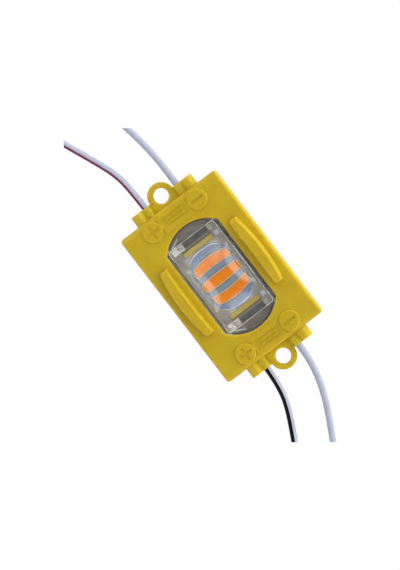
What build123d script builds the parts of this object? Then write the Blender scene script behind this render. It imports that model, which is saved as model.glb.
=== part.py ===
# LED module: a moulded housing with two screw ears, a clear lens over three light strips,
# a sealed board with its small electrical parts, and four short leads.
# Millimetres, +Z up. The origin is the middle of the underside, +X runs along the body,
# and +Y points to the side with the minus marks.

from math import pi, radians, sqrt, tan
import os

from build123d import *

os.makedirs("parts", exist_ok=True)

# Heights, from the underside up
back_thickness = 0.8  # moulded layer under the board
board_thickness = 1.0
flange_thickness = 1.4  # lens rim clamped between board and housing
body_height = 6.5
plinth_drop = 0.2  # lens plinth below the housing's top
block_height = 0.9  # lens block above its plinth
dome_height = 3.1
cavity_height = 1.6  # hollow over the light strips
lens_roof = 1.6  # clear plastic left above the lens slots and bores

# Lens, from the middle outwards
cavity_length = 16.2
cavity_width = 10.4
cavity_corner = 3.0
rib_wall = 1.6  # lens wall between cavity and rib
rib_width = 1.2
rib_length = 9.4
rib_height = 1.5
slot_wall = 1.0  # lens wall between rib and end slot
slot_width = 1.6
slot_length = 9.8
slot_corner = 0.3
bore_radius = 0.85
bore_wall = 0.55  # lens wall between rib and corner bore
block_wall = 0.3  # lens wall outside the end slot
block_width = 15.3
block_corner = 1.2
block_edge = 0.35
dome_rim = 0.8  # flat margin round the dome, across the block
dome_end_rim = 4.3  # flat margin at the block's ends
plinth_edge = 0.45
flange_reach = 0.8  # lens rim under the housing
lens_gap = 0.1
rib_gap = 0.05  # clearance round a rib, in the lens and in the board
end_margin = 3.15  # window's end beyond the lens block
side_margin = 1.05  # window's side beyond the lens block
window_end_radius = 11.4
window_corner = 0.6
window_edge = 0.2

# Housing round the window
end_length = 7.05  # window's end to the body's end
body_corner = 1.0
body_edge = 0.8
body_end_edge = 1.5  # softer, above the ears and bosses
base_edge = 0.25
board_rim = 2.0
board_corner = 1.0
board_gap = 0.05
back_opening_margin = 1.2  # between the rib slots and the opening in the back
back_opening_width = 20.0
back_opening_corner = 1.0

# Guard fins
fin_gap = 1.6  # window's side to the fin's foot
fin_thickness = 3.85
fin_margin = 1.85  # fin's foot to the body's side
fin_length = 21.4
fin_bow = 1.18  # how far the outer side bows out at mid-length
fin_height = 4.2
fin_end_height = 2.3
fin_draft = 6.5  # degrees
fin_corner = 0.7
fin_edge = 0.4

# Ears, wire bosses and side humps
ear_offset = 3.15  # hole centre beyond the body's end
ear_hole_diameter = 4.3
ear_radius = 3.75
ear_thickness = 2.0
ear_edge = 0.45
boss_reach = 3.15
boss_edge = 0.2
boss_root = 1.5  # how far ears and bosses run back into the body
lead_spacing = 10.6
lead_hump_width = 2.54
side_hump_width = 3.42
side_hump_rise = 0.8  # side hump above the lead hump
hump_valley = 0.5  # radius of the soft valley between the two humps
lead_cover = 0.7  # plastic over the lead

# Raised discs and plaque on the top face
disc_diameter = 5.7
disc_spacing = 14.9
disc_inset = 3.5  # disc centre to the body's end
disc_height = 0.5
disc_edge = 0.2
mark_length = 3.9
mark_width = 0.7
mark_depth = 0.35
plaque_length = 5.6
plaque_width = 9.3
plaque_inset = 3.3
plaque_height = 0.3
plaque_corner = 0.4
field_length = 2.7
field_width = 7.8
field_depth = 0.2
symbol_height = 0.3
symbol_bar = 5.4
symbol_stroke = 0.5
symbol_gap = 0.5  # between the long bar and the dashes
dash_count = 3
dash_length = 1.35

# Leads, all with the same round section
lead_diameter = 1.8
lead_gap = 0.12  # round the lead in its boss
lead_rest = 0.1  # lead above the board
lead_inner_run = 8.15  # from the boss's mouth back to the end of the insulation
lead_arc_share = 0.45  # share of a straight run that each of its two arcs takes up
conductor_diameter = 0.8
conductor_tip = 1.4

# Routes outside the boss: distance out, shift towards +Y, height above the underside.
# The first point lies in the boss, so that each lead leaves it straight.
lead_routes = {
    "lead_plus_left": [
        (-2.2, 0.0, 2.8), (5.5, -0.1, 2.62), (11.6, -0.7, 1.7), (19.4, -3.75, 0.94), (27.1, -7.05, 0.9)
    ],
    "lead_minus_left": [
        (-1.0, 0.0, 2.8), (6.4, 0.1, 2.45), (11.4, -0.25, 1.5), (15.9, -0.8, 0.98), (20.2, -1.55, 0.9)
    ],
    "lead_plus_right": [
        (-0.2, 0.0, 2.8), (7.8, -0.78, 2.3), (12.6, -2.55, 1.35), (16.6, -4.5, 0.93), (20.45, -6.5, 0.9)
    ],
    "lead_minus_right": [
        (-2.2, 0.0, 2.8), (5.0, -0.1, 2.6), (12.0, -1.65, 1.62), (19.6, -4.9, 0.95), (26.7, -8.8, 0.9)
    ],
}

# Light strips on the board
strip_names = ["left", "middle", "right"]
strip_pitch = 4.13
strip_length = 8.2
strip_width = 2.15
strip_corner = 0.3
strip_height = 0.6
dam_width = 0.25
dam_height = 0.68
die_count = 7
die_pitch = 1.1
die_length = 0.7
die_width = 0.9
die_height = 0.2

# Small parts in the sealed pockets at the board's ends
pocket_wall = 0.7  # housing wall between lens rim and pocket
pocket_height = 2.6
pocket_side = 2.5  # board edge to the pocket's side
lead_pocket_width = 2.6
pad_length = 1.6
pad_width = 2.2
pad_thickness = 0.05
joint_length = 1.3
joint_width = 1.6
joint_height = 1.5
joint_taper = 14.0  # degrees
joint_gap = 0.15  # solder joint to the pocket's inner side
chip_length = 2.9
chip_width = 1.6
chip_height = 1.1
chip_stand = 0.1
chip_leg_span = 2.8
chip_leg_width = 0.4
chip_leg_pitch = 0.95
chip_leg_thickness = 0.15
chip_leg_drop = 0.55  # top of a leg above the board
diode_length = 2.7
diode_width = 1.6
diode_height = 1.1
diode_tab_width = 0.9
diode_tab_reach = 0.5
diode_tab_thickness = 0.15
resistor_length = 3.2
resistor_width = 1.6
resistor_height = 0.55
resistor_cap = 0.45
resistor_margin = 0.5  # resistor's end to the pocket's side

# Working values
overrun = 1.0  # how far a cutting shape runs past the surface it cuts
match = 0.01  # how near an edge must lie to the place where it is looked for

# Places that follow from the sizes above
board_top = back_thickness + board_thickness
flange_top = board_top + flange_thickness
plinth_top = body_height - plinth_drop
block_top = plinth_top + block_height
dome_top = block_top + dome_height
roof_under = block_top - lens_roof
rib_x = cavity_length / 2 + rib_wall + rib_width / 2
bore_y = rib_length / 2 + bore_wall + bore_radius
slot_x = rib_x + rib_width / 2 + slot_wall + slot_width / 2
block_length = 2 * (slot_x + slot_width / 2 + block_wall)
window_length = block_length + 2 * end_margin
window_width = block_width + 2 * side_margin
body_length = window_length + 2 * end_length
fin_inner = window_width / 2 + fin_gap
fin_outer = fin_inner + fin_thickness
body_width = 2 * (fin_outer + fin_margin)
board_length = body_length - 2 * board_rim
board_width = body_width - 2 * board_rim
ear_x = body_length / 2 + ear_offset
boss_end = body_length / 2 + boss_reach
lead_y = lead_spacing / 2
lead_z = board_top + lead_rest + lead_diameter / 2
lead_hump_top = lead_z + lead_diameter / 2 + lead_cover
side_hump_top = lead_hump_top + side_hump_rise
side_hump_y = lead_y + (lead_hump_width + side_hump_width) / 2
ear_plate_width = lead_spacing - lead_hump_width
pocket_inner = window_length / 2 + flange_reach + pocket_wall
pocket_outer = board_length / 2
pocket_x = (pocket_inner + pocket_outer) / 2
pocket_width = board_width - 2 * pocket_side
insulation_end = boss_end - lead_inner_run
tip_end = insulation_end - conductor_tip
resistor_y = (pocket_width - resistor_length) / 2 - resistor_margin


def slab(length, width, low, high, x=0.0, y=0.0, corner=0.0):
    """A flat block between two heights, with rounded upright corners if asked."""
    plan = RectangleRounded(length, width, corner) if corner else Rectangle(length, width)
    return Pos(x, y, low) * extrude(plan, high - low)


def post(radius, low, high, x=0.0, y=0.0):
    """An upright round post or hole."""
    return Pos(x, y, low) * extrude(Circle(radius), high - low)


def barrel(grow, low, high):
    """The window's outline, with bowed ends, grown by a margin and given a height."""
    half = window_width / 2 + grow
    tip = window_length / 2 + grow
    end_radius = window_end_radius + grow
    corner_x = tip - end_radius + sqrt(end_radius**2 - half**2)
    outline = [
        Line((-corner_x, half), (corner_x, half)),
        ThreePointArc((corner_x, half), (tip, 0), (corner_x, -half)),
        Line((corner_x, -half), (-corner_x, -half)),
        ThreePointArc((-corner_x, -half), (-tip, 0), (-corner_x, half)),
    ]
    plan = make_face(outline)
    plan = fillet(plan.vertices(), window_corner + grow)
    return Pos(0, 0, low) * extrude(plan, high - low)


def at_both_ends(make):
    """The same feature at both ends of the module."""
    return make(1) + make(-1)


def in_four_corners(x, y, make):
    """The same feature at four places that mirror each other."""
    return [make(sx * x, sy * y) for sx in (-1, 1) for sy in (-1, 1)]


def hump_profile(y, width, top):
    """An upright wall with a half-round top, seen from the end."""
    radius = width / 2
    profile = Pos(y, (top - radius) / 2) * Rectangle(width, top - radius)
    return profile + Pos(y, top - radius) * Circle(radius)


def valley_profile():
    """The web between the two humps, with a round valley that meets both tops smoothly."""
    lead_radius = lead_hump_width / 2
    side_radius = side_hump_width / 2
    lead_centre = Vector(lead_y, lead_hump_top - lead_radius)
    side_centre = Vector(side_hump_y, side_hump_top - side_radius)
    apart = side_centre - lead_centre
    # The valley's centre lies one valley radius outside both rounds
    first = lead_radius + hump_valley
    second = side_radius + hump_valley
    along = (first**2 - second**2 + apart.length**2) / (2 * apart.length)
    across = sqrt(first**2 - along**2)
    ahead = apart.normalized()
    valley = lead_centre + ahead * along + Vector(-ahead.Y, ahead.X) * across
    corners = [lead_centre, valley, side_centre, Vector(side_hump_y, 0), Vector(lead_y, 0)]
    web = make_face(Polyline(*corners, close=True))
    return web - Pos(valley.X, valley.Y) * Circle(hump_valley)


def humps(sign, side):
    """The lead hump and the side hump at one corner, running out from the body's end."""
    profile = hump_profile(lead_y, lead_hump_width, lead_hump_top)
    profile += hump_profile(side_hump_y, side_hump_width, side_hump_top)
    profile += valley_profile()
    reach = boss_root + boss_reach
    solid = extrude(Plane.YZ.offset(body_length / 2 - boss_root) * profile, reach)
    end_face = solid.faces().sort_by(Axis.X)[-1]
    solid = fillet(end_face.edges(), boss_edge)
    if sign < 0:
        solid = mirror(solid, Plane.XZ)
    return solid if side > 0 else mirror(solid, Plane.YZ)


def ear(side):
    """The screw ear with its wire bosses and side humps, at one end."""
    root = side * (body_length / 2 - boss_root)
    reach = boss_root + ear_offset
    solid = slab(reach, ear_plate_width, 0, ear_thickness, root + side * reach / 2)
    solid += post(ear_radius, 0, ear_thickness, side * ear_x)
    solid -= post(ear_hole_diameter / 2, -overrun, ear_thickness + overrun, side * ear_x)
    rounds = solid.edges().filter_by(GeomType.CIRCLE)
    rims = rounds.filter_by(lambda edge: edge.center().Z > ear_thickness / 2)
    solid = fillet(rims, ear_edge)
    for sign in (-1, 1):
        solid += humps(sign, side)
    return solid


def fin_plan(inset, height):
    """A fin's outline at one height, set in from its foot by the draft."""
    half = fin_length / 2 - inset
    inner = fin_inner + inset
    outer = fin_outer - inset
    end_y = outer - fin_bow
    outline = [
        Line((-half, inner), (half, inner)),
        Line((half, inner), (half, end_y)),
        ThreePointArc((half, end_y), (0, outer), (-half, end_y)),
        Line((-half, end_y), (-half, inner)),
    ]
    plan = make_face(outline)
    return Pos(0, 0, height) * fillet(plan.vertices(), fin_corner)


def fin():
    """A guard fin: straight inside, bowed outside, drafted, with an arched crown."""
    lift = fin_height + overrun
    inset = lift * tan(radians(fin_draft))
    blank = loft([fin_plan(0, body_height), fin_plan(inset, body_height + lift)], ruled=True)
    half = fin_length / 2
    drop = fin_height - fin_end_height
    crown_radius = (half**2 + drop**2) / (2 * drop)
    crown = Cylinder(crown_radius, fin_thickness + 2 * overrun, rotation=(90, 0, 0))
    crown = Pos(0, (fin_inner + fin_outer) / 2, body_height + fin_height - crown_radius) * crown
    solid = blank & crown
    top = solid.faces().filter_by(GeomType.CYLINDER).sort_by(Axis.Z)[-1]
    return fillet(top.edges(), fin_edge)


def mark_bar(x, y, along_x):
    """One engraved stroke in a disc."""
    stroke = SlotOverall(mark_length, mark_width, rotation=0 if along_x else 90)
    top = body_height + disc_height
    return Pos(x, y, top - mark_depth) * extrude(stroke, mark_depth + overrun)


def disc(x, y):
    """A raised disc with an engraved minus, or a plus on the -Y side."""
    low = body_height - body_end_edge
    solid = post(disc_diameter / 2, low, body_height + disc_height, x, y)
    solid = fillet(solid.edges().group_by(Axis.Z)[-1], disc_edge)
    solid -= mark_bar(x, y, along_x=False)
    if y < 0:
        solid -= mark_bar(x, y, along_x=True)
    return solid


def plaque(side):
    """The raised plaque between two discs, with a direct-current symbol in its field."""
    x = side * (body_length / 2 - plaque_inset)
    top = body_height + plaque_height
    low = body_height - body_end_edge
    solid = slab(plaque_length, plaque_width, low, top, x, 0, plaque_corner)
    solid -= slab(field_length, field_width, top - field_depth, top + overrun, x)
    floor = top - field_depth
    bar_x = x - side * (symbol_stroke + symbol_gap) / 2
    dash_x = x + side * (symbol_stroke + symbol_gap) / 2
    solid += slab(symbol_stroke, symbol_bar, floor, floor + symbol_height, bar_x)
    dash_pitch = (symbol_bar - dash_length) / (dash_count - 1)
    for i in range(dash_count):
        y = (i - (dash_count - 1) / 2) * dash_pitch
        solid += slab(symbol_stroke, dash_length, floor, floor + symbol_height, dash_x, y)
    return solid


def pockets():
    """The hollows over the board's ends, with room for the parts and the lead tips."""
    top = board_top + pocket_height
    length = pocket_outer - pocket_inner
    hollow = at_both_ends(lambda s: slab(length, pocket_width, board_top, top, s * pocket_x))
    lead_inner = tip_end - joint_gap
    lead_room = (pocket_outer - lead_inner, lead_pocket_width, board_top, top)
    middle = (pocket_outer + lead_inner) / 2
    for room in in_four_corners(middle, lead_y, lambda x, y: slab(*lead_room, x, y)):
        hollow += room
    return hollow


def long_section():
    """The body's outline seen from the side, with its two upper corners rounded, all through."""
    plan = Pos(0, body_height / 2) * Rectangle(body_length, body_height)
    plan = fillet(plan.vertices().group_by(Axis.Y)[-1], body_end_edge)
    return extrude(Plane.XZ * plan, body_width / 2, both=True)


def lead_bore(x, y):
    """The hole for a lead, from the pocket to the boss's mouth."""
    sign = 1 if x > 0 else -1
    plane = Plane.YZ.offset(sign * (pocket_outer - overrun))
    section = Pos(y, lead_z) * Circle(lead_diameter / 2 + lead_gap)
    return extrude(plane * section, sign * (boss_end - pocket_outer + 2 * overrun))


def housing():
    """The moulded shell: body, ears, bosses, fins, discs, plaques and the ribs under the lens."""
    solid = slab(body_length, body_width, 0, body_height, corner=body_corner)
    solid = fillet(solid.edges().group_by(Axis.Z)[-1], body_edge)
    solid = fillet(solid.edges().group_by(Axis.Z)[0], base_edge) & long_section()
    solid += at_both_ends(ear)
    solid += fin() + mirror(fin(), Plane.XZ)
    solid += at_both_ends(plaque)
    for one in in_four_corners(body_length / 2 - disc_inset, disc_spacing / 2, disc):
        solid += one
    solid -= barrel(0, flange_top, body_height + overrun)
    solid = fillet(solid.edges().filter_by(on_window_rim), window_edge)
    solid -= barrel(flange_reach + lens_gap, board_top, flange_top + lens_gap)
    bed_length = board_length + 2 * board_gap
    bed_width = board_width + 2 * board_gap
    solid -= slab(bed_length, bed_width, back_thickness, board_top, corner=board_corner)
    solid -= pockets()
    opening = 2 * (rib_x - rib_width / 2 - back_opening_margin)
    solid -= slab(opening, back_opening_width, -overrun, board_top, corner=back_opening_corner)
    for bore in in_four_corners(boss_end, lead_y, lead_bore):
        solid -= bore
    return solid + at_both_ends(rib)


def on_window_rim(edge):
    """Whether an edge lies on the window's upper rim."""
    box = edge.bounding_box()
    middle = box.center()
    return (
        abs(box.min.Z - body_height) < match
        and abs(box.max.Z - body_height) < match
        and abs(middle.X) < window_length / 2 + match
        and abs(middle.Y) < window_width / 2 + match
    )


def rib(side):
    """A bar that rises through the board and clamps the lens from below."""
    return slab(rib_width, rib_length, back_thickness / 2, board_top + rib_height, side * rib_x)


def dome():
    """The lens's crown, a patch that falls to a straight rim on all four sides."""
    half_x = block_length / 2 - dome_end_rim
    half_y = block_width / 2 - dome_rim
    net = [[(x, y, block_top) for y in (-half_y, 0, half_y)] for x in (-half_x, 0, half_x)]
    # The middle point of such a patch pulls it up to a quarter of the point's own height
    net[1][1] = (0, 0, block_top + 4 * dome_height)
    crown = Face.make_bezier_surface(net)
    base = Pos(0, 0, block_top) * Rectangle(2 * half_x, 2 * half_y)
    return Solid(Shell([crown, base.face()]))


def lens():
    """The clear lens: rim, plinth, block and dome, hollow underneath."""
    solid = barrel(flange_reach, board_top, flange_top)
    plinth = barrel(-lens_gap, flange_top, plinth_top)
    solid += fillet(plinth.edges().group_by(Axis.Z)[-1], plinth_edge)
    block = slab(block_length, block_width, plinth_top, block_top, corner=block_corner)
    solid += fillet(block.edges().group_by(Axis.Z)[-1], block_edge)
    solid += dome()
    cavity_top = board_top + cavity_height
    solid -= slab(cavity_length, cavity_width, board_top, cavity_top, corner=cavity_corner)
    solid -= at_both_ends(lambda side: rib_room(side, board_top, board_top + rib_height + rib_gap))
    solid -= at_both_ends(end_slot)
    for bore in in_four_corners(rib_x, bore_y, corner_bore):
        solid -= bore
    return solid


def rib_room(side, low, high):
    """The slot for a rib, in the lens or in the board."""
    return slab(rib_width + 2 * rib_gap, rib_length + 2 * rib_gap, low, high, side * rib_x)


def end_slot(side):
    """The open slot under one end of the lens block."""
    return slab(slot_width, slot_length, board_top, roof_under, side * slot_x, 0, slot_corner)


def corner_bore(x, y):
    """A blind bore beside a rib."""
    return post(bore_radius, board_top, roof_under, x, y)


def circuit_board():
    """The aluminium-core board, slotted for the two ribs."""
    solid = slab(board_length, board_width, back_thickness, board_top, corner=board_corner)
    low = back_thickness - overrun
    return solid - at_both_ends(lambda side: rib_room(side, low, board_top + overrun))


def strip_x(index):
    return (index - (len(strip_names) - 1) / 2) * strip_pitch


def dies(index):
    """The row of light-emitting dies under one strip, as separate chips."""
    x = strip_x(index)
    first = -(die_count - 1) / 2 * die_pitch
    return [
        slab(die_width, die_length, board_top, board_top + die_height, x, first + i * die_pitch)
        for i in range(die_count)
    ]


def phosphor(index):
    """One strip of orange gel over its dies."""
    top = board_top + strip_height
    solid = slab(strip_width, strip_length, board_top, top, strip_x(index), 0, strip_corner)
    for die in dies(index):
        solid -= die
    return solid


def dam(index):
    """The pale wall round one strip."""
    x = strip_x(index)
    top = board_top + dam_height
    outer_width = strip_width + 2 * dam_width
    outer_length = strip_length + 2 * dam_width
    outer = slab(outer_width, outer_length, board_top, top, x, 0, strip_corner + dam_width)
    return outer - slab(strip_width, strip_length, board_top, top, x, 0, strip_corner)


def solder_pad(x, y):
    return slab(pad_length, pad_width, board_top, board_top + pad_thickness, x, y)


def solder_joint(x, y):
    """A mound of solder round the lead's bare tip."""
    low = board_top + pad_thickness
    mound = extrude(Ellipse(joint_length / 2, joint_width / 2), joint_height, taper=joint_taper)
    mound = Pos(x, y, low) * mound
    return mound - conductor(x, y)


def conductor(x, y):
    """The bare tip of a lead."""
    sign = 1 if x > 0 else -1
    section = Plane.YZ.offset(sign * tip_end) * Pos(y, lead_z) * Circle(conductor_diameter / 2)
    return extrude(section, sign * conductor_tip)


def lead(name, ex, ey):
    """One lead: straight runs joined by tangent arcs, from its solder end to its cut end."""
    points = [Vector(ex * insulation_end, ey * lead_y, lead_z)]
    for out, shift, height in lead_routes[name]:
        points.append(Vector(ex * (boss_end + out), ey * lead_y + shift, height))
    runs = [(b - a) for a, b in zip(points, points[1:])]
    radii = []
    for before, after in zip(runs, runs[1:]):
        turn = before.get_angle(after)
        radii.append(lead_arc_share * min(before.length, after.length) / tan(radians(turn / 2)))
    path = FilletPolyline(*points, radius=radii)
    section = Plane(path @ 0, z_dir=path % 0) * Circle(lead_diameter / 2)
    solid = sweep(section, path)
    straight = pi * lead_diameter**2 / 4 * path.length
    print(name, "length", round(path.length, 2), "radii", [round(r, 1) for r in radii])
    print("   volume", round(solid.volume, 2), "and section times length", round(straight, 2))
    return solid


def driver_chip():
    """The driver's moulded case."""
    low = board_top + chip_stand
    return slab(chip_width, chip_length, low, low + chip_height, pocket_x)


def driver_legs():
    """Six bent legs, three each side, from the case down to the board."""
    legs = []
    reach = (chip_leg_span - chip_width) / 2
    foot = reach / 2
    for sx in (-1, 1):
        for i in (-1, 0, 1):
            side = pocket_x + sx * chip_width / 2
            y = i * chip_leg_pitch
            high = board_top + chip_leg_drop
            low = high - chip_leg_thickness
            leg = slab(foot, chip_leg_width, low, high, side + sx * foot / 2, y)
            x = side + sx * (foot - chip_leg_thickness / 2)
            leg += slab(chip_leg_thickness, chip_leg_width, board_top, high, x, y)
            length = foot + chip_leg_thickness
            x = side + sx * (reach - length / 2)
            top = board_top + chip_leg_thickness
            leg += slab(length, chip_leg_width, board_top, top, x, y)
            legs.append(leg)
    return legs


def diode():
    """The input diode's case, across the other pocket."""
    low = board_top + diode_tab_thickness
    return slab(diode_width, diode_length, low, low + diode_height, -pocket_x)


def diode_tabs():
    """The diode's two flat tabs, under the case's ends."""
    top = board_top + diode_tab_thickness
    tab = slab(diode_tab_width, 2 * diode_tab_reach, board_top, top, -pocket_x)
    return [Pos(0, s * diode_length / 2, 0) * tab for s in (-1, 1)]


def resistor_body(x, y):
    length = resistor_length - 2 * resistor_cap
    return slab(resistor_width, length, board_top, board_top + resistor_height, x, y)


def resistor_caps(x, y):
    """The two metal ends of a resistor."""
    offset = (resistor_length - resistor_cap) / 2
    top = board_top + resistor_height
    return [slab(resistor_width, resistor_cap, board_top, top, x, y + s * offset) for s in (-1, 1)]


pad_x = (insulation_end + tip_end) / 2
nodes = {
    "housing": housing(),
    "lens": lens(),
    "circuit_board": circuit_board(),
    "solder_pads": in_four_corners(pad_x, lead_y, solder_pad),
    "driver_chip": driver_chip(),
    "driver_legs": driver_legs(),
    "diode": diode(),
    "diode_tabs": diode_tabs(),
    "resistors": in_four_corners(pocket_x, resistor_y, resistor_body),
    "resistor_caps": sum(in_four_corners(pocket_x, resistor_y, resistor_caps), []),
}
for index, name in enumerate(strip_names):
    nodes["phosphor_" + name] = phosphor(index)
    nodes["dam_" + name] = dam(index)
    nodes["dies_" + name] = dies(index)
for ex, end in ((-1, "left"), (1, "right")):
    for ey, pole in ((-1, "plus"), (1, "minus")):
        place = pole + "_" + end
        nodes["lead_" + place] = lead("lead_" + place, ex, ey)
        nodes["conductor_" + place] = conductor(ex * pad_x, ey * lead_y)
        nodes["solder_" + place] = solder_joint(ex * pad_x, ey * lead_y)

for name, shape in nodes.items():
    if isinstance(shape, list):
        shape = Compound(children=shape)
    export_step(shape, "parts/" + name + ".step")
print("body", round(body_length, 2), "by", round(body_width, 2), "dome top", round(dome_top, 2))
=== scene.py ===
# LED module: the looks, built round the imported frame. All lengths here are in metres,
# and mm turns a size in millimetres into one.
import math
import random

import bmesh
import bpy
from mathutils import Matrix, Vector


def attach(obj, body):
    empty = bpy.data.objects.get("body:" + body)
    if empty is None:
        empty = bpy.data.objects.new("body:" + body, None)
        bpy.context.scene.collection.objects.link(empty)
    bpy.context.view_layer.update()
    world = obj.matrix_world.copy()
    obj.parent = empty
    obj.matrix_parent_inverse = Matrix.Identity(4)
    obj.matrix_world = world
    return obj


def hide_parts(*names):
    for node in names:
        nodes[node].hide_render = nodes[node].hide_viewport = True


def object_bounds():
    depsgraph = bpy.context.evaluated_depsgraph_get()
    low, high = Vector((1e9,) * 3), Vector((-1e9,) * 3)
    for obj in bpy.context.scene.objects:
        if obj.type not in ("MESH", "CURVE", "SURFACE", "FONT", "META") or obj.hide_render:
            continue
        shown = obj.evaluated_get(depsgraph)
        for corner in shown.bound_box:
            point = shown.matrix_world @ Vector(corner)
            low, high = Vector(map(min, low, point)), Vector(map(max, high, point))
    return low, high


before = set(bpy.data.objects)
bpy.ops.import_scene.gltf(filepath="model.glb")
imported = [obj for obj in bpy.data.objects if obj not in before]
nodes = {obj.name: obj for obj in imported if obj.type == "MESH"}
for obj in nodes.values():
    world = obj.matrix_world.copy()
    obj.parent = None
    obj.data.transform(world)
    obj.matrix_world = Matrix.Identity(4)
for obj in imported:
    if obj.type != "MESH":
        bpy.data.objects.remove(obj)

cadLow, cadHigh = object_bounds()
scene = bpy.context.scene
mm = 0.001
scene.view_settings.view_transform = "Standard"
print("frame loaded,", len(nodes), "nodes")


# Camera: it looks down on the module, from a little towards the minus side
cameraView = {
    "right": (0.6069, 0.7948),  # the picture's right, across the module's top
    "target": (-1.665 * mm, -5.92 * mm, 6.5 * mm),
    "distance": 1.5,
    "frameHeight": 153.39 * mm,
    "tilt": 3.9,  # degrees from straight down
    "sensor": 36.0,
}


def addCamera(view):
    tilt = math.radians(view["tilt"])
    back = Vector((0, math.sin(tilt), math.cos(tilt)))
    right = Vector((*view["right"], 0))
    right = (right - right.dot(back) * back).normalized()
    up = back.cross(right)
    data = bpy.data.cameras.new("camera")
    data.sensor_width = view["sensor"]
    data.lens = view["sensor"] * view["distance"] / view["frameHeight"]
    data.clip_start = 0.01
    camera = bpy.data.objects.new("camera", data)
    turn = Matrix((right, up, back)).transposed()
    place = Vector(view["target"]) + back * view["distance"]
    camera.matrix_world = Matrix.Translation(place) @ turn.to_4x4()
    scene.collection.objects.link(camera)
    scene.camera = camera


addCamera(cameraView)
print("camera placed")


# Helpers for shading. The owner of the nodes is a material or the world.
def newMaterial(name, colour, roughness, **sockets):
    material = bpy.data.materials.new(name)
    material.use_nodes = True
    shader = shaderOf(material)
    shader.inputs["Base Color"].default_value = (*colour, 1)
    shader.inputs["Roughness"].default_value = roughness
    for socket, value in sockets.items():
        shader.inputs[socket.replace("_", " ")].default_value = value
    return material


def shaderOf(material):
    return material.node_tree.nodes["Principled BSDF"]


def addNode(owner, kind, **values):
    # Each value goes to the socket of its name, or else to the node's own setting
    node = owner.node_tree.nodes.new(kind)
    for name, value in values.items():
        socket = name.replace("_", " ")
        if socket in node.inputs:
            node.inputs[socket].default_value = value
        else:
            setattr(node, name, value)
    return node


def feed(owner, socket, value):
    # A number or a colour is set, and another node's output is joined
    if isinstance(value, (int, float)):
        socket.default_value = value
    elif isinstance(value, tuple):
        socket.default_value = (*value, 1)
    else:
        owner.node_tree.links.new(value, socket)


def calc(owner, operation, *values, clamp=False):
    node = addNode(owner, "ShaderNodeMath", operation=operation, use_clamp=clamp)
    for socket, value in zip(node.inputs, values):
        feed(owner, socket, value)
    return node.outputs[0]


def addRange(owner, source, fromRange, toRange=(0, 1), kind="LINEAR"):
    low, high = fromRange
    least, most = toRange
    spread = addNode(
        owner, "ShaderNodeMapRange", interpolation_type=kind,
        From_Min=low, From_Max=high, To_Min=least, To_Max=most,
    )
    feed(owner, spread.inputs["Value"], source)
    return spread.outputs["Result"]


def mixValues(owner, share, first, second):
    mix = addNode(owner, "ShaderNodeMix", data_type="FLOAT")
    for place, value in ((0, share), (2, first), (3, second)):
        feed(owner, mix.inputs[place], value)
    return mix.outputs[0]


def mixColours(owner, share, first, second):
    mix = addNode(owner, "ShaderNodeMix", data_type="RGBA")
    for place, value in ((0, share), (6, first), (7, second)):
        feed(owner, mix.inputs[place], value)
    return mix.outputs[2]


def mixShaders(material, share, first, second):
    mix = addNode(material, "ShaderNodeMixShader")
    for socket, value in zip(mix.inputs, (share, first, second)):
        feed(material, socket, value)
    output = material.node_tree.nodes["Material Output"]
    feed(material, output.inputs["Surface"], mix.outputs["Shader"])


def addNoise(material, size, detail=3.0, stretch=(1, 1, 1)):
    place = addNode(material, "ShaderNodeTexCoord")
    scale = addNode(material, "ShaderNodeMapping", Scale=stretch)
    noise = addNode(material, "ShaderNodeTexNoise", Scale=1 / size, Detail=detail)
    feed(material, scale.inputs["Vector"], place.outputs["Object"])
    feed(material, noise.inputs["Vector"], scale.outputs["Vector"])
    return noise.outputs["Fac"]


def readAttribute(material, name):
    return addNode(material, "ShaderNodeAttribute", attribute_name=name).outputs["Fac"]


def placesOf(material):
    # The distance from the middle towards both ends, the plain y and the height
    place = addNode(material, "ShaderNodeTexCoord")
    apart = addNode(material, "ShaderNodeSeparateXYZ")
    feed(material, apart.inputs["Vector"], place.outputs["Object"])
    x, y, z = apart.outputs
    return {"out": calc(material, "ABSOLUTE", x), "side": y, "height": z}


def zoneMask(material, places, zone):
    # 1 inside a box in millimetres, whose corners may be round, and 0 outside, with a soft
    # edge. A lean slants it, by adding that share of the side to the way out.
    places = dict(places)
    if "lean" in zone:
        places["out"] = calc(material, "MULTIPLY_ADD", places["side"], zone["lean"], places["out"])
    corner = zone.get("corner", 0.01) * mm
    reach = 0.0
    for axis in places:
        if axis in zone:
            low, high = zone[axis]
            away = calc(material, "SUBTRACT", places[axis], (low + high) / 2 * mm)
            away = calc(material, "ABSOLUTE", away)
            past = calc(material, "SUBTRACT", away, (high - low) / 2 * mm - corner)
            past = calc(material, "MAXIMUM", past, 0)
            reach = calc(material, "MULTIPLY_ADD", past, past, reach)
    steep = 1 / (zone["soft"] * mm)
    reach = calc(material, "SQRT", reach)
    mask = calc(material, "MULTIPLY_ADD", reach, -steep, 0.5 + corner * steep, clamp=True)
    if "within" in zone:
        mask = calc(material, "MULTIPLY", mask, zoneMask(material, places, zone["within"]))
    return mask


def paintZone(material, places, zone, colour):
    # The zone's own colour over the one given, with streaks of a second where it has them
    own = zone["colour"]
    if "streak" in zone:
        streaks = addNoise(material, zone["size"] * mm, 3.0, zone["stretch"])
        own = mixColours(material, addRange(material, streaks, zone["from"]), own, zone["streak"])
    return mixColours(material, zoneMask(material, places, zone), colour, own)


def paint(material, colour):
    feed(material, shaderOf(material).inputs["Base Color"], colour)


def varyColour(material, size, first, second, detail=3.0, stretch=(1, 1, 1)):
    share = addRange(material, addNoise(material, size, detail, stretch), (0.32, 0.68))
    colour = mixColours(material, share, first, second)
    paint(material, colour)
    return colour


def varyRoughness(material, size, least, most):
    roughness = addRange(material, addNoise(material, size), (0.3, 0.7), (least, most))
    feed(material, shaderOf(material).inputs["Roughness"], roughness)


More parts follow.
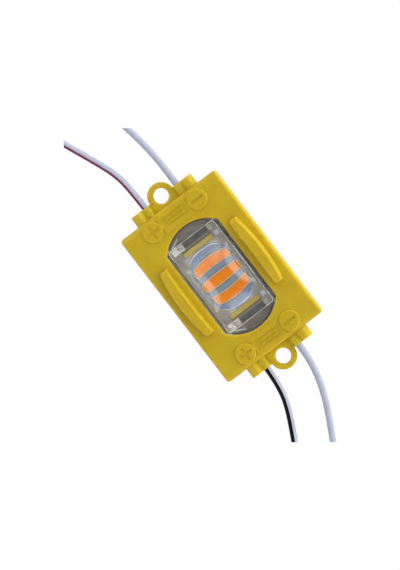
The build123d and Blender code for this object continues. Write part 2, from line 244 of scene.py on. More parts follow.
def addBump(material, height, depth, strength=1.0):
    bump = addNode(material, "ShaderNodeBump", Distance=depth, Strength=strength)
    feed(material, bump.inputs["Height"], height)
    normal = shaderOf(material).inputs["Normal"]
    if normal.is_linked:
        feed(material, bump.inputs["Normal"], normal.links[0].from_socket)
    feed(material, normal, bump.outputs["Normal"])


def finishNode(name, material):
    for slot in nodes[name].material_slots:
        slot.material = material


# Helpers for meshes
def newPiece(name, bm, material, replaced=()):
    mesh = bpy.data.meshes.new(name)
    bmesh.ops.recalc_face_normals(bm, faces=bm.faces)
    bm.to_mesh(mesh)
    bm.free()
    for face in mesh.polygons:
        face.use_smooth = True
    mesh.materials.append(material)
    piece = bpy.data.objects.new(name, mesh)
    scene.collection.objects.link(piece)
    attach(piece, "root")
    if replaced:
        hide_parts(*replaced)
    return piece


def addLoop(bm, points, height):
    return [bm.verts.new((x, y, height)) for x, y in points]


def bridge(bm, low, high, sharp=()):
    count = len(low)
    for i in range(count):
        bm.faces.new((low[i], low[(i + 1) % count], high[(i + 1) % count], high[i]))
    for loop in sharp:
        markSharp(bm, loop)


def markSharp(bm, loop):
    for a, b in zip(loop, loop[1:] + loop[:1]):
        edge = bm.edges.get((a, b))
        if edge:
            edge.smooth = False


def stack(bm, outline, levels):
    loops = [addLoop(bm, outline(grow), height) for grow, height in levels]
    for low, high in zip(loops, loops[1:]):
        bridge(bm, low, high)
    return loops


def fillBetween(bm, *loops):
    edges = []
    for loop in loops:
        for a, b in zip(loop, loop[1:] + loop[:1]):
            edges.append(bm.edges.get((a, b)) or bm.edges.new((a, b)))
    bmesh.ops.triangle_fill(bm, use_beauty=True, use_dissolve=False, edges=edges)


def roundedEdge(grow, top, radius, steps=8):
    levels = []
    for i in range(steps + 1):
        turn = math.radians(90) * i / steps
        levels.append((grow - radius * (1 - math.cos(turn)), top - radius * (1 - math.sin(turn))))
    return levels


def arcPoints(centre, radius, start, end, steps):
    turns = [start + (end - start) * i / steps for i in range(steps + 1)]
    return [(centre[0] + radius * math.cos(t), centre[1] + radius * math.sin(t)) for t in turns]


def roundedRectangle(length, width, corner, steps=12):
    points = []
    for quarter, (sx, sy) in enumerate(((1, 1), (-1, 1), (-1, -1), (1, -1))):
        centre = (sx * (length / 2 - corner), sy * (width / 2 - corner))
        start = math.radians(90 * quarter)
        points += arcPoints(centre, corner, start, start + math.radians(90), steps)
    return points


def circle(x, y, radius, steps=48):
    return arcPoints((x, y), radius, 0, math.radians(360) * (steps - 1) / steps, steps - 1)


def moved(points, x, y=0.0):
    return [(px + x, py + y) for px, py in points]


def evenNormals(piece):
    modifier = piece.modifiers.new("even normals", "WEIGHTED_NORMAL")
    modifier.keep_sharp = True
    modifier.weight = 100


# Leads: white insulation over stranded copper. The routes repeat those of the solids:
# distance out of the boss, shift towards +Y, and height, in millimetres.
leadShape = {
    "radius": 0.9 * mm,
    "bossEnd": 27.15 * mm,
    "aside": 5.3 * mm,  # from the middle line to a lead
    "start": 19.0 * mm,  # where a route starts, inside the housing
    "height": 2.8 * mm,
    "around": 48,
    "wall": 0.45 * mm,
    "hollow": 1.2 * mm,  # how deep the open end is drawn
    "cutRoom": 1.44 * mm,  # no ring this near the slanted cut, which it would cross
}
strandShape = {
    "count": 7,
    "radius": 0.13 * mm,
    "ring": 0.275 * mm,
    "turn": 17,  # degrees
    "back": 0.06 * mm,  # the strands end a little inside the cut, not all at one depth
    "uneven": 0.08 * mm,
    "edge": 0.03 * mm,
    "tip": 0.75,  # the tip's radius, as a share
    "around": 12,
}
pictureRight = Vector((*cameraView["right"], 0))
pictureUp = Vector((-cameraView["right"][1], cameraView["right"][0], 0))
leads = {  # each length has the bare tip in the housing in it
    "plus_left": {
        "corner": (-1, -1),  # towards which end and side of the housing
        "slot": "lead_red_stripe",
        "length": 38.0 * mm,
        "cutFaces": pictureRight,
        "route": (
            (-2.2, 0.0, 2.8), (5.5, -0.1, 2.62), (11.6, -0.7, 1.7),
            (19.4, -3.75, 0.94), (27.1, -7.05, 0.9),
        ),
    },
    "minus_left": {
        "corner": (-1, 1),
        "slot": "lead_white",
        "length": 30.0 * mm,
        "cutFaces": pictureUp,
        "route": (
            (-1.0, 0.0, 2.8), (6.4, 0.1, 2.45), (11.4, -0.25, 1.5),
            (15.9, -0.8, 0.98), (20.2, -1.55, 0.9),
        ),
    },
    "plus_right": {
        "corner": (1, -1),
        "slot": "lead_black_stripe",
        "length": 31.3 * mm,
        "cutFaces": pictureUp,
        "route": (
            (-0.2, 0.0, 2.8), (7.8, -0.78, 2.3), (12.6, -2.55, 1.35),
            (16.6, -4.5, 0.93), (20.45, -6.5, 0.9),
        ),
    },
    "minus_right": {
        "corner": (1, 1),
        "slot": "lead_white",
        "length": 38.1 * mm,
        "cutFaces": pictureUp,
        "route": (
            (-2.2, 0.0, 2.8), (5.0, -0.1, 2.6), (12.0, -1.65, 1.62),
            (19.6, -4.9, 0.95), (26.7, -8.8, 0.9),
        ),
    },
}


def readRoute(name, lead):
    endX, endY = lead["corner"]
    points = [Vector((endX * leadShape["start"], endY * leadShape["aside"], leadShape["height"]))]
    for out, shift, height in lead["route"]:
        x = endX * (leadShape["bossEnd"] + out * mm)
        points.append(Vector((x, endY * leadShape["aside"] + shift * mm, height * mm)))
    curve = bpy.data.curves.new(name + "_route", "CURVE")
    curve.dimensions = "3D"
    curve.resolution_u = 24
    spline = curve.splines.new("NURBS")
    spline.points.add(len(points) - 1)
    for place, point in zip(spline.points, points):
        place.co = (*point, 1)
    spline.order_u = 3
    spline.use_endpoint_u = True
    holder = bpy.data.objects.new(name + "_route", curve)
    scene.collection.objects.link(holder)
    bpy.context.view_layer.update()
    laid = holder.evaluated_get(bpy.context.evaluated_depsgraph_get())
    mesh = bpy.data.meshes.new_from_object(laid)
    line = [v.co.copy() for v in mesh.vertices]
    bpy.data.objects.remove(holder)
    bpy.data.meshes.remove(mesh)
    return line


def sectionAxes(line, i):
    ahead = (line[min(i + 1, len(line) - 1)] - line[max(i - 1, 0)]).normalized()
    side = Vector((0, 0, 1)).cross(ahead)
    if side.y > 0:
        side = -side  # it points to the plus side
    side.normalize()
    top = side.cross(ahead)
    if top.z < 0:
        top = -top
    return ahead, side, top


def ringAt(bm, line, i, radius, cut=None, back=0.0):
    ahead, side, top = sectionAxes(line, i)
    ring = []
    for k in range(leadShape["around"]):
        turn = math.radians(360) * k / leadShape["around"]
        offset = radius * (math.cos(turn) * top + math.sin(turn) * side)
        if cut:
            offset -= ahead * (offset.dot(cut) / ahead.dot(cut))
        ring.append(bm.verts.new(line[i] + offset - ahead * back))
    return ring


def makeLead(name, lead, material):
    line = readRoute(name, lead)
    cut = lead["cutFaces"]
    last = len(line) - 1
    radius = leadShape["radius"]
    inner = radius - leadShape["wall"]
    bm = bmesh.new()
    rings = []
    for i in range(last):
        if (line[i] - line[last]).length >= leadShape["cutRoom"]:
            rings.append(ringAt(bm, line, i, radius))
    rings.append(ringAt(bm, line, last, radius, cut))
    rings.append(ringAt(bm, line, last, inner, cut))
    rings.append(ringAt(bm, line, last, inner, cut, leadShape["hollow"]))
    for low, high in zip(rings, rings[1:]):
        bridge(bm, low, high)
    bm.faces.new(rings[0])
    bm.faces.new(rings[-1])
    for ring in (rings[0], rings[-3], rings[-2], rings[-1]):
        markSharp(bm, ring)
    piece = newPiece("insulation_" + name, bm, material, ["lead_" + name])
    markSides(piece, line)
    makeStrands(name, line, cut)


def markSides(piece, line):
    # How far each point of the lead's skin faces the plus side and the top
    sideOf = piece.data.attributes.new("leadSide", "FLOAT", "POINT")
    topOf = piece.data.attributes.new("leadTop", "FLOAT", "POINT")
    for v in piece.data.vertices:
        i = min(range(len(line)), key=lambda k: (line[k] - v.co).length_squared)
        ahead, side, top = sectionAxes(line, i)
        out = v.co - line[i]
        out = (out - out.dot(ahead) * ahead).normalized()
        sideOf.data[v.index].value = out.dot(side)
        topOf.data[v.index].value = out.dot(top)


def makeStrands(name, line, cut):
    random.seed(name)
    s = strandShape
    ahead, side, top = sectionAxes(line, len(line) - 1)
    bm = bmesh.new()
    for k in range(s["count"]):
        turn = math.radians(60 * k + s["turn"])
        middle = line[-1].copy()
        if k < s["count"] - 1:  # the last strand lies in the middle
            middle += s["ring"] * (math.cos(turn) * top + math.sin(turn) * side)
        middle -= ahead * ((middle - line[-1]).dot(cut) / ahead.dot(cut))
        middle -= ahead * (s["back"] + s["uneven"] * random.random())
        rings = []
        for back, share in ((leadShape["hollow"], 1.0), (s["edge"], 1.0), (0.0, s["tip"])):
            ring = []
            for n in range(s["around"]):
                t = math.radians(360) * n / s["around"]
                out = s["radius"] * share * (math.cos(t) * top + math.sin(t) * side)
                ring.append(bm.verts.new(middle + out - ahead * back))
            rings.append(ring)
        for low, high in zip(rings, rings[1:]):
            bridge(bm, low, high)
        bm.faces.new(rings[-1])
        bm.faces.new(rings[0])
        markSharp(bm, rings[-1])
    return newPiece("strands_" + name, bm, tinnedFinish)


# Insulation: white with a soft gloss, and on two leads a stripe along the plus side
insulation = {
    "white": (0.46, 0.495, 0.605),
    "shade": (0.41, 0.445, 0.555),
    "roughness": 0.42,
    "stray": 0.03,  # how far a stripe's edges stray
    "stripes": {  # the middle and the half width in degrees, from the top towards the plus side
        "red": {"colour": (0.2, 0.025, 0.08), "middle": 66, "reach": 52, "soft": 0.2},
        "black": {"colour": (0.006, 0.006, 0.007), "middle": 46, "reach": 57, "soft": 0.03},
    },
}


def addStripe(material, white, stripe):
    turn = math.radians(stripe["middle"])
    facing = calc(material, "MULTIPLY", readAttribute(material, "leadSide"), math.sin(turn))
    facing = calc(
        material, "MULTIPLY_ADD", readAttribute(material, "leadTop"), math.cos(turn), facing
    )
    stray = insulation["stray"]
    wander = addRange(material, addNoise(material, 3.0 * mm), (0.3, 0.7), (-stray, stray))
    facing = calc(material, "ADD", facing, wander)
    soft = stripe["soft"]
    edge = math.cos(math.radians(stripe["reach"]))
    mask = calc(material, "MULTIPLY_ADD", facing, 1 / soft, 0.5 - edge / soft, clamp=True)
    return mixColours(material, mask, white, stripe["colour"])


def makeInsulation(name, stripe=None):
    roughness = insulation["roughness"]
    material = newMaterial(name, insulation["white"], roughness, IOR=1.5, Specular_IOR_Level=0.05)
    white = varyColour(material, 2.2 * mm, insulation["white"], insulation["shade"])
    if stripe:
        paint(material, addStripe(material, white, stripe))
    varyRoughness(material, 0.5 * mm, roughness - 0.06, roughness + 0.08)
    addBump(material, addNoise(material, 0.35 * mm, 2.0), 0.01 * mm)
    return material


tinnedFinish = newMaterial("tinned copper", (0.62, 0.58, 0.52), 0.32, Metallic=1.0)
varyColour(tinnedFinish, 0.2 * mm, (0.66, 0.62, 0.56), (0.5, 0.44, 0.38))
varyRoughness(tinnedFinish, 0.1 * mm, 0.24, 0.42)
addBump(tinnedFinish, addNoise(tinnedFinish, 0.08 * mm), 0.004 * mm)

stripes = insulation["stripes"]
leadFinishes = {
    "lead_white": makeInsulation("white insulation"),
    "lead_red_stripe": makeInsulation("insulation with a red stripe", stripes["red"]),
    "lead_black_stripe": makeInsulation("insulation with a black stripe", stripes["black"]),
}
for name, lead in leads.items():
    makeLead(name, lead, leadFinishes[lead["slot"]])
print("leads laid")


# Housing: satin yellow plastic, its shape straight from the frame
housingLook = {
    "yellow": (0.57, 0.415, 0.007),
    "deep": (0.53, 0.375, 0.006),
    "zones": {  # in millimetres: out from the middle towards either end, side along y
        "painted light on the thin end walls": {  # painted light: the thin walls at the ends made paler, for the light they let through
            "out": (24.4, 40), "side": (-20, 20), "soft": 0.5, "colour": (0.64, 0.475, 0.012),
        },
        # painted light: paler beside the body's ends, against the shade of the end wall
        "painted light at the roots of the ears": {
            "out": (23.95, 26), "side": (-4.1, 4.1), "soft": 1.0, "colour": (0.72, 0.54, 0.013),
        },
        # painted light: the marks' floors a little paler than the yellow, against the shade in the grooves
        "painted light in the floors of the marks": {
            "out": (17, 24), "height": (6.625, 6.675), "soft": 0.02, "colour": (0.60, 0.43, 0.009),
        },
        "painted shade on the wall round the lens": {  # painted shade: dark as in the lens's shade
            "out": (-17.2, 17.2), "side": (-8.9, 8.9), "soft": 0.1, "colour": (0.10, 0.10, 0.075),
            "within": {"height": (2.5, 6.2), "soft": 0.2},
        },
        "painted shade and veil on the ribs' tops": {  # painted shade and a painted veil of reflection: darker and paler in tint, as seen through the lens's underside
            "out": (9.5, 11.1), "height": (2.9, 3.5), "soft": 0.1, "colour": (0.33, 0.29, 0.10),
        },
    },
}


def makeHousingFinish():
    material = newMaterial(
        "yellow plastic",
        housingLook["yellow"],
        0.42,
        IOR=1.5,
        Specular_IOR_Level=0.28,
        Subsurface_Weight=0.5,
        Subsurface_Radius=(1.0, 0.6, 0.1),
        Subsurface_Scale=2.6 * mm,
    )
    colour = varyColour(material, 6 * mm, housingLook["yellow"], housingLook["deep"])
    places = placesOf(material)
    for zone in housingLook["zones"].values():
        colour = paintZone(material, places, zone, colour)
    paint(material, colour)
    varyRoughness(material, 1.5 * mm, 0.36, 0.5)
    addBump(material, addNoise(material, 0.16 * mm, 2.0), 0.006 * mm)
    addBump(material, addNoise(material, 3.0 * mm, 1.0), 0.05 * mm, 0.5)
    return material


finishNode("housing", makeHousingFinish())
print("housing finished")


# Lens: one clear moulding, rebuilt finer than the frame's solid in the same form
lensShape = {
    "windowLength": 33.9 * mm,
    "windowWidth": 17.4 * mm,
    "endRadius": 11.4 * mm,
    "endSteps": 20,
    "corner": 0.6 * mm,
    "cornerSteps": 10,
    "flangeReach": 0.8 * mm,
    "gap": 0.1 * mm,
    "bottom": 1.81 * mm,
    "flangeTop": 3.2 * mm,
    "plinthTop": 6.3 * mm,
    "plinthEdge": 0.45 * mm,
    "blockLength": 27.6 * mm,
    "blockWidth": 15.3 * mm,
    "blockCorner": 1.2 * mm,
    "blockEdge": 0.35 * mm,
    "blockTop": 7.2 * mm,
    "domeLength": 19.0 * mm,
    "domeWidth": 13.7 * mm,
    "domeHeight": 3.1 * mm,
    "domeSteps": (96, 72),
    "cavityLength": 16.2 * mm,
    "cavityWidth": 10.4 * mm,
    "cavityCorner": 3.0 * mm,
    "cavityTop": 3.4 * mm,
    "cavityEdge": 0.2 * mm,
    "ribX": 10.3 * mm,
    "ribRoom": (1.3 * mm, 9.5 * mm, 3.35 * mm),  # length, width and top
    "ribCorner": 0.05 * mm,
    "slotX": 12.7 * mm,
    "slotRoom": (1.6 * mm, 9.8 * mm, 5.6 * mm),
    "slotCorner": 0.3 * mm,
    "boreY": 6.1 * mm,
    "boreRadius": 0.85 * mm,
}
lensLook = {
    "clear": (0.97, 0.975, 0.98),
    "paintedShade": (0.1, 0.1, 0.105),
    "paintedEdgeHighlight": (0.84, 0.92, 1.0),
    "endHighlight": 1.0,  # painted highlight: the share of an edge painted pale instead of letting the light pass
    "sideHighlight": 0.64,
    "cornerReach": 2.0 * mm,  # the line along the block's end fades this far from the corner
    "cornerSpeed": 1.6,
    "cornerLoss": 0.75,
    "cavityHighlight": 1.0,
    "cavityReach": 4.9 * mm,  # the cavity's long sides stay clear
    "cavityFade": 0.8 * mm,
    "plinthHighlight": 0.3,
    "rimShade": 1.0,  # painted shade: how dark the plinth's rim is, then on the plus side, and the slots' ceilings
    "plusRimShade": 0.5,
    "slotShade": 0.35,
    "clearOf": 0.3 * mm,  # the shade starts this far from the block and the bores
    "exact": 0.001 * mm,
    "blockSpan": (0.05, 0.2),  # from and to below an edge's top, in shares of its radius
    "cavitySpan": (0.01, 0.9),
    "plinthSpan": (0.01, 0.7),
    "rimSpan": (0.01, 1.01),
}


def windowOutline(grow):
    # A quarter, from the end's middle to the long side, and its three mirrored copies
    half = lensShape["windowWidth"] / 2 + grow
    radius = lensShape["endRadius"] + grow
    corner = lensShape["corner"] + grow
    endX = lensShape["windowLength"] / 2 + grow - radius
    cornerX = endX + math.sqrt((radius - corner) ** 2 - (half - corner) ** 2)
    reach = math.atan2(half - corner, cornerX - endX)
    middle = (cornerX, half - corner)
    points = arcPoints((endX, 0), radius, 0, reach, lensShape["endSteps"])[:-1]
    points += arcPoints(middle, corner, reach, math.radians(90), lensShape["cornerSteps"])
    left = [(-x, y) for x, y in reversed(points)]
    below = [(-x, -y) for x, y in points[1:]]
    return points + left + below + [(x, -y) for x, y in reversed(points)][:-1]


def blockOutline(grow):
    size = lensShape["blockLength"] + 2 * grow, lensShape["blockWidth"] + 2 * grow
    return roundedRectangle(*size, lensShape["blockCorner"] + grow)


def cavityOutline(grow):
    size = lensShape["cavityLength"] + 2 * grow, lensShape["cavityWidth"] + 2 * grow
    return roundedRectangle(*size, lensShape["cavityCorner"] + grow)


def domeGrid(bm):
    across, along = lensShape["domeSteps"]
    grid = []
    for i in range(across + 1):
        u = 2 * i / across - 1
        row = []
        for j in range(along + 1):
            v = 2 * j / along - 1
            rise = lensShape["domeHeight"] * (1 - u * u) * (1 - v * v)
            place = (u * lensShape["domeLength"] / 2, v * lensShape["domeWidth"] / 2)
            row.append(bm.verts.new((*place, lensShape["blockTop"] + rise)))
        grid.append(row)
    for low, high in zip(grid, grid[1:]):
        for j in range(along):
            bm.faces.new((low[j], high[j], high[j + 1], low[j + 1]))
    rim = [row[0] for row in grid] + grid[-1][1:-1] + [row[-1] for row in reversed(grid)]
    return rim + list(reversed(grid[0][1:-1]))


def hollow(bm, points, top):
    low = addLoop(bm, points, lensShape["bottom"])
    high = addLoop(bm, points, top)
    bridge(bm, low, high, sharp=(low, high))
    fillBetween(bm, high)
    return low


def hollowEnds(bm):
    # At both ends a room over the rib, a slot and two corner bores, all open below
    s = lensShape
    holes = []
    for side in (-1, 1):
        length, width, top = s["ribRoom"]
        rib = roundedRectangle(length, width, s["ribCorner"], steps=3)
        holes.append(hollow(bm, moved(rib, side * s["ribX"]), top))
        length, width, top = s["slotRoom"]
        slot = roundedRectangle(length, width, s["slotCorner"], steps=6)
        holes.append(hollow(bm, moved(slot, side * s["slotX"]), top))
        for end in (-1, 1):
            bore = circle(side * s["ribX"], end * s["boreY"], s["boreRadius"])
            holes.append(hollow(bm, bore, top))
    return holes


def onEdge(z, part, span):
    # Whether a height lies in a span of a part's rounded edge
    low, high = lensLook[span]
    return low < (lensShape[part + "Top"] - z) / lensShape[part + "Edge"] < high


def highlightShare(x, y, z):
    # Painted highlight share: the block's rounded edge, the cavity's upper one and the plinth's on the
    # plus side
    s, look = lensShape, lensLook
    highlight = 0.0
    if onEdge(z, "block", "blockSpan"):
        highlight = look["sideHighlight"]
        if abs(x) > s["blockLength"] / 2 - s["blockCorner"]:
            inCorner = 1 - (s["blockWidth"] / 2 - abs(y)) / look["cornerReach"]
            fade = min(1.0, max(0.0, look["cornerSpeed"] * inCorner))
            highlight = look["endHighlight"] * (1 - look["cornerLoss"] * fade)
    if abs(x) < s["cavityLength"] / 2 and onEdge(z, "cavity", "cavitySpan"):
        inside = (look["cavityReach"] - abs(y)) / look["cavityFade"]
        highlight = look["cavityHighlight"] * min(1.0, max(0.0, inside))
    if y < -s["blockWidth"] / 2 and onEdge(z, "plinth", "plinthSpan"):
        highlight = look["plinthHighlight"]
    return highlight


def rimShade(x, y, z):
    # Painted shade share: the plinth's rim beside the block, and the ceilings of the slots
    s, look = lensShape, lensLook
    room = look["clearOf"]
    outside = abs(y) > s["blockWidth"] / 2 + room or abs(x) > s["blockLength"] / 2 + room
    if outside and onEdge(z, "plinth", "rimSpan"):
        return look["rimShade"] if y > -s["blockWidth"] / 2 else look["plusRimShade"]
    onCeiling = abs(z - s["slotRoom"][2]) < look["exact"]
    if onCeiling and abs(x) > s["ribX"] + s["boreRadius"] + room:
        return look["slotShade"]
    return 0.0


def markEdges(piece):
    # Each point's share of painted highlight and of painted shade
    highlightShares = piece.data.attributes.new("paintedEdgeHighlight", "FLOAT", "POINT")
    shades = piece.data.attributes.new("paintedShade", "FLOAT", "POINT")
    for v in piece.data.vertices:
        highlightShares.data[v.index].value = highlightShare(*v.co)
        shades.data[v.index].value = rimShade(*v.co)


def makeLens(material):
    s = lensShape
    bm = bmesh.new()
    levels = [(s["flangeReach"], s["bottom"]), (s["flangeReach"], s["flangeTop"])]
    flange = stack(bm, windowOutline, levels)
    levels = [(-s["gap"], s["flangeTop"])] + roundedEdge(-s["gap"], s["plinthTop"], s["plinthEdge"])
    plinth = stack(bm, windowOutline, levels)
    fillBetween(bm, flange[-1], plinth[0])
    levels = [(0, s["plinthTop"])] + roundedEdge(0, s["blockTop"], s["blockEdge"])
    block = stack(bm, blockOutline, levels)
    fillBetween(bm, plinth[-1], block[0])
    dome = domeGrid(bm)
    fillBetween(bm, block[-1], dome)
    levels = [(0, s["bottom"])] + roundedEdge(0, s["cavityTop"], s["cavityEdge"], steps=4)
    cavity = stack(bm, cavityOutline, levels)
    fillBetween(bm, cavity[-1])
    fillBetween(bm, flange[0], cavity[0], *hollowEnds(bm))
    for loop in (flange[0], flange[-1], plinth[0], block[0], dome, cavity[0]):
        markSharp(bm, loop)
    lens = newPiece("clear_lens", bm, material, ["lens"])
    markEdges(lens)
    evenNormals(lens)


def letLightThrough(material, tint):
    # Shadow rays and bounced rays pass straight through, so that the board gets its light
    clear = addNode(material, "ShaderNodeBsdfTransparent", Color=(*tint, 1))
    rays = addNode(material, "ShaderNodeLightPath").outputs
    passing = calc(material, "MAXIMUM", rays["Is Shadow Ray"], rays["Is Diffuse Ray"])
    mixShaders(material, passing, shaderOf(material).outputs["BSDF"], clear.outputs["BSDF"])


def makeLensFinish():
    clear = lensLook["clear"]
    material = newMaterial("clear plastic", clear, 0.0, IOR=1.56, Transmission_Weight=1.0)
    varyRoughness(material, 4 * mm, 0.0, 0.003)
    addBump(material, addNoise(material, 5 * mm, 1.0), 0.02 * mm, 0.3)
    letLightThrough(material, (1.2, 1.2, 1.2))  # more than 1, because a lens gathers the light
    # Painted highlight: the marked edges turn pale instead of clear, in broken lines
    edges = readAttribute(material, "paintedEdgeHighlight")
    broken = addRange(material, addNoise(material, 2.5 * mm), (0.38, 0.6), (0.4, 1.0))
    clearness = calc(material, "SUBTRACT", 1.0, calc(material, "MULTIPLY", edges, broken))
    feed(material, shaderOf(material).inputs["Transmission Weight"], clearness)
    # Painted shade on the plinth's rim and the slots' ceilings
    rims = readAttribute(material, "paintedShade")
    shaded = mixColours(material, rims, clear, lensLook["paintedShade"])
    paint(material, mixColours(material, edges, shaded, lensLook["paintedEdgeHighlight"]))
    return material


makeLens(makeLensFinish())
print("lens built")


# Light strips: orange gel in a pale dam, with the dies below
stripShape = {
    "names": ("left", "middle", "right"),
    "pitch": 4.13 * mm,
    "length": 8.2 * mm,
    "width": 2.15 * mm,
    "corner": 0.3 * mm,
    "board": 1.8 * mm,
    "edgeHeight": 0.54 * mm,
    "crown": 0.07 * mm,
    "crownReach": 0.28 * mm,  # how far in from its edge the gel rises
    "crownSteps": 7,
    "damWidth": 0.25 * mm,
    "damHeight": 0.68 * mm,
    "damSteps": 12,
}
gelFinish = newMaterial("orange gel", (0.78, 0.21, 0.008), 0.3, IOR=1.45, Specular_IOR_Level=0.12)
varyColour(gelFinish, 1.2 * mm, (0.69, 0.20, 0.007), (0.63, 0.173, 0.005))
varyRoughness(gelFinish, 0.7 * mm, 0.22, 0.36)
addBump(gelFinish, addNoise(gelFinish, 0.6 * mm, 2.0), 0.01 * mm)
damFinish = newMaterial("pale silicone", (0.50, 0.40, 0.27), 0.35, IOR=1.43)
varyColour(damFinish, 1.0 * mm, (0.54, 0.43, 0.29), (0.44, 0.34, 0.22))
varyRoughness(damFinish, 0.5 * mm, 0.3, 0.45)
addBump(damFinish, addNoise(damFinish, 0.4 * mm), 0.008 * mm)


def stackStrip(bm, x, levels):
    s = stripShape

    def outline(grow):
        size = s["width"] + 2 * grow, s["length"] + 2 * grow
        return moved(roundedRectangle(*size, s["corner"] + grow, steps=6), x)

    return stack(bm, outline, levels)


def makeGel(name, x):
    s = stripShape
    edge = s["board"] + s["edgeHeight"]
    levels = [(0.0, s["board"]), (0.0, edge)]
    for i in range(1, s["crownSteps"] + 1):
        share = i / s["crownSteps"]
        levels.append((-s["crownReach"] * share, edge + s["crown"] * (1 - (1 - share) ** 2)))
    bm = bmesh.new()
    loops = stackStrip(bm, x, levels)
    fillBetween(bm, loops[-1])
    fillBetween(bm, loops[0])
    markSharp(bm, loops[0])
    markSharp(bm, loops[1])
    evenNormals(newPiece("gel_" + name, bm, gelFinish, ["phosphor_" + name]))


def makeDam(name, x):
    s = stripShape
    half = s["damWidth"] / 2
    middle = s["board"] + s["damHeight"] - half  # the height of the round top's middle
    levels = [(s["damWidth"], s["board"])]
    for i in range(s["damSteps"] + 1):
        turn = math.radians(180) * i / s["damSteps"]
        levels.append((half + half * math.cos(turn), middle + half * math.sin(turn)))
    levels.append((0.0, s["board"]))
    bm = bmesh.new()
    loops = stackStrip(bm, x, levels)
    bridge(bm, loops[-1], loops[0])
    markSharp(bm, loops[0])
    markSharp(bm, loops[-1])
    newPiece("silicone_dam_" + name, bm, damFinish, ["dam_" + name])


for index, name in enumerate(stripShape["names"]):
    makeGel(name, (index - 1) * stripShape["pitch"])
    makeDam(name, (index - 1) * stripShape["pitch"])
print("light strips filled")


# Board: grey solder mask on top, bare aluminium at the edges and the back
boardLook = {
    "mask": (0.185, 0.18, 0.163),
    "darker mask": (0.105, 0.102, 0.094),
    "specks": (0.12, 0.12, 0.14),
    "aluminium": (0.66, 0.67, 0.69),
    "grain": (0.52, 0.53, 0.55),
    "zones": {  # in millimetres: out from the middle towards either end, side along y
        # painted shade with a warm cast of painted light from the yellow walls
        "painted shade beside the lens block": {
            "out": (-13.2, 13.2), "side": (-9, 9), "soft": 0.3, "colour": (0.11, 0.11, 0.085),
        },
        # painted light: paler under the lens block
        "painted light under the block": {
            "out": (-13.6, 13.6), "side": (-7.5, 7.5), "soft": 0.4, "colour": (0.36, 0.355, 0.325),
        },
        # painted reflection: a pale slanted streak at each crescent's corner
        "painted reflection streak": {
            "out": (16.6, 16.95), "side": (-6.3, -3.5), "lean": -0.464, "soft": 0.35,
            "colour": (0.6, 0.65, 0.72),
        },
        # painted shadow beside the ribs
        "painted shadow beside the ribs": {
            "out": (10.9, 11.8), "side": (-5, 5), "soft": 0.2, "colour": (0.13, 0.12, 0.085),
        },
        # painted shade under the end slots, with streaks
        "painted shade under the slots": {
            "out": (11.9, 13.5), "side": (-4.9, 4.9), "soft": 0.2, "colour": (0.010, 0.011, 0.030),
            "streak": (0.078, 0.085, 0.145), "size": 0.8, "stretch": (2.2, 0.8, 1), "from": (0.42, 0.6),
        },
        # painted reflection: white broken flashes at one end of the slots
        "painted flashes at the slots' ends": {
            "out": (11.7, 13.3), "side": (-6.9, -3.5), "soft": 0.35, "colour": (0.22, 0.22, 0.225),
            "streak": (1.0, 1.0, 1.0), "size": 0.9, "stretch": (1.6, 0.6, 1), "from": (0.34, 0.47),
        },
        # painted reflection: a pale patch at the other end of the slots
        "painted pale patch": {
            "out": (11.9, 13.2), "side": (4.9, 5.9), "soft": 0.3, "colour": (0.42, 0.41, 0.39),
        },
        # painted highlight: a bluish-white spot under a corner bore
        "painted highlight of a bore": {
            "out": (9.8, 10.8), "side": (5.5, 6.7), "soft": 0.6, "colour": (0.60, 0.70, 0.98),
        },
        # painted reflection: the other corner bore seen as a grey spot
        "painted grey reflection of a bore": {
            "out": (9.8, 10.8), "side": (-6.7, -5.5), "soft": 0.6, "colour": (0.26, 0.27, 0.3),
        },
        "cavity": {
            "out": (-8.2, 8.2), "side": (-5.3, 5.3), "corner": 3.2, "soft": 0.3,
            "colour": (0.155, 0.205, 0.33),
        },
        # painted light: paler round the strips' ends
        "painted light at the strips' ends": {
            "out": (-6.0, 6.0), "side": (-5.3, 5.3), "corner": 2.0, "soft": 0.8,
            "colour": (0.235, 0.31, 0.41),
        },
        "between the strips": {
            "out": (-6.0, 6.0), "side": (-3.5, 3.4), "soft": 0.5, "colour": (0.195, 0.237, 0.305),
        },
    },
}


def facesUp(material):
    facing = addNode(material, "ShaderNodeNewGeometry")
    apart = addNode(material, "ShaderNodeSeparateXYZ")
    feed(material, apart.inputs["Vector"], facing.outputs["Normal"])
    return addRange(material, apart.outputs["Z"], (0.45, 0.55))


def makeBoardFinish():
    c = boardLook
    material = newMaterial("board", c["mask"], 0.45, Specular_IOR_Level=0.2)
    top = varyColour(material, 2.4 * mm, c["mask"], c["darker mask"], 3.0, (1, 0.4, 1))
    places = placesOf(material)
    for zone in c["zones"].values():
        top = paintZone(material, places, zone, top)
    specks = addRange(material, addNoise(material, 0.7 * mm), (0.35, 0.65), (0, 0.12))
    top = mixColours(material, specks, top, c["specks"])
    grain = addNoise(material, 0.6 * mm, 2.0, (0.06, 1, 1))
    share = addRange(material, grain, (0.3, 0.7))
    bare = mixColours(material, share, c["aluminium"], c["grain"])
    onTop = facesUp(material)
    paint(material, mixColours(material, onTop, bare, top))
    feed(material, shaderOf(material).inputs["Metallic"], calc(material, "SUBTRACT", 1.0, onTop))
    varyRoughness(material, 0.8 * mm, 0.34, 0.48)
    addBump(material, grain, 0.004 * mm)
    return material


finishNode("circuit_board", makeBoardFinish())
print("board finished")


# Parts sealed inside the housing
def speckled(name, first, second, size, roughness, metallic=0.0):
    material = newMaterial(name, first, roughness, Metallic=metallic)
    varyColour(material, size, first, second)
    varyRoughness(material, size, roughness - 0.06, roughness + 0.08)
    addBump(material, addNoise(material, size / 2), 0.003 * mm)
    return material


